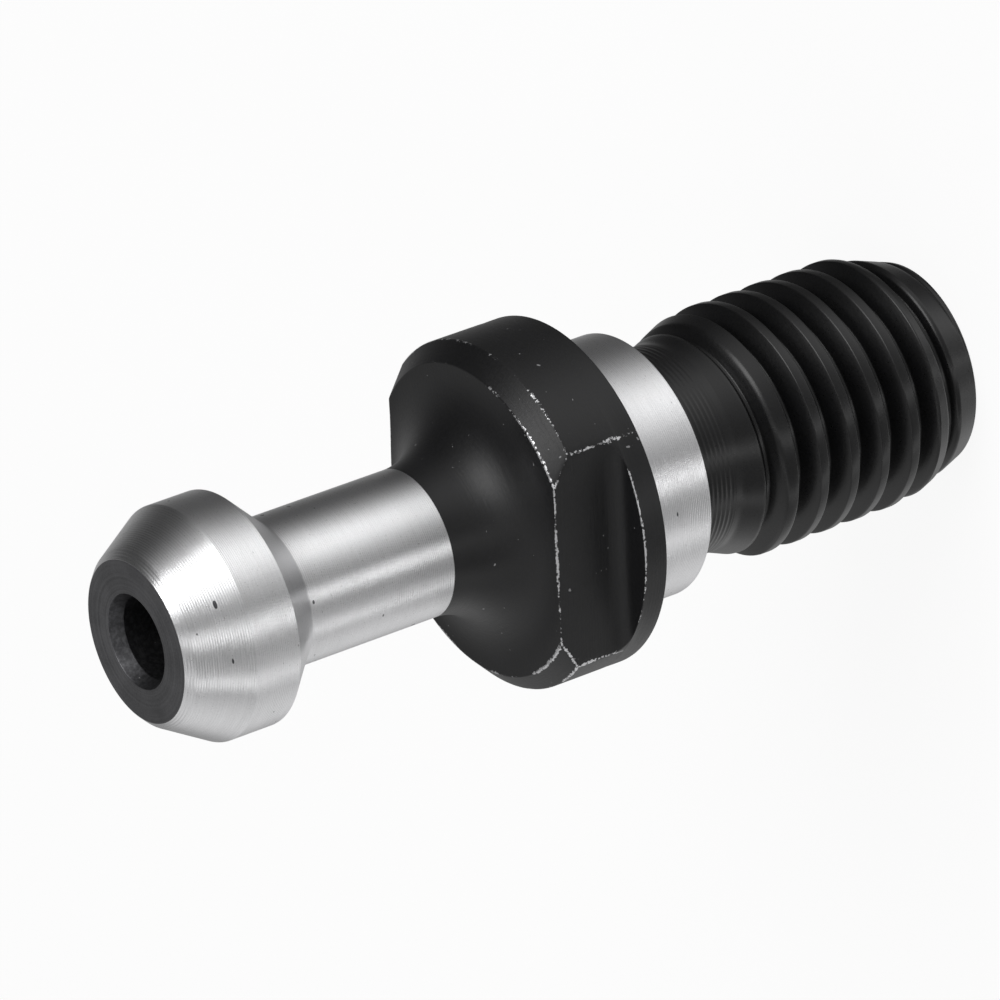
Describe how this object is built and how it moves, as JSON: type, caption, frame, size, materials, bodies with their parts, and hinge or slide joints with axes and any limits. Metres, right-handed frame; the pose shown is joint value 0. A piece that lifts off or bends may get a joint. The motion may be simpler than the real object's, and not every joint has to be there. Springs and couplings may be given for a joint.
{
  "type": "pull stud",
  "caption": "Pull stud for a 30-taper tool holder: gripped head with coolant bore, slim neck, flange with wrench flats, pilot and threaded shank.",
  "frame": {"origin": "middle of the seat, the flange's back face that the tool holder's end bears on", "axes": "+Z along the stud's axis towards the head; the wrench flats face -Y and +Y"},
  "size_m": [0.0164, 0.0164, 0.0433],
  "materials": {
    "steel": "case-hardened steel: head cone, head, neck and pilot turned bright, the rest under satin black oxide"
  },
  "bodies": {
    "root": {"pull_stud": "steel"}
  },
  "joints": []
}
